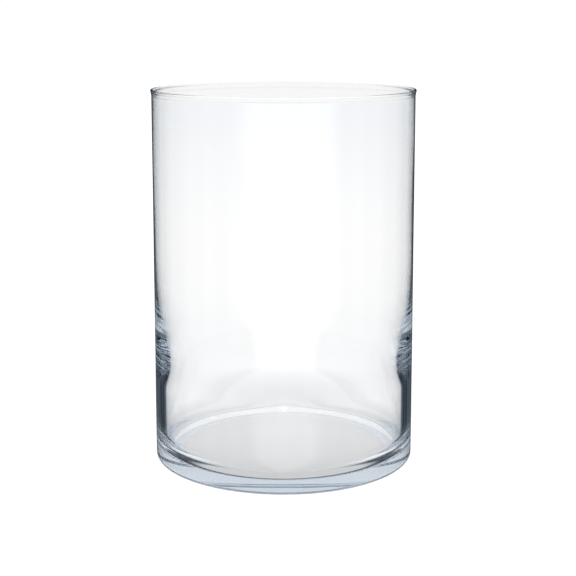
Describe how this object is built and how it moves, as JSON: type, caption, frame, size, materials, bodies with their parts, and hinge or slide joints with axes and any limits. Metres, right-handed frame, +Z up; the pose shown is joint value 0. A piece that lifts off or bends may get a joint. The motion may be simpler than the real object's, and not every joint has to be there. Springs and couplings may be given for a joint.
{
  "type": "glass cylinder vase",
  "caption": "Clear glass cylinder vase with a rounded rim, a thin wall that thickens downwards and a heavy flat foot.",
  "frame": {"origin": "centre of the underside, where the vase stands", "axes": "+Z up along the vase's axis, through the mouth; the vase is round, so X and Y are alike"},
  "size_m": [0.208, 0.208, 0.295],
  "materials": {
    "clear_glass": "clear, smooth, fire-polished blown glass with a faint cool tint in the thick foot"
  },
  "bodies": {
    "root": {"base": "clear_glass", "lower_wall": "clear_glass", "upper_wall": "clear_glass", "rim": "clear_glass"}
  },
  "joints": []
}
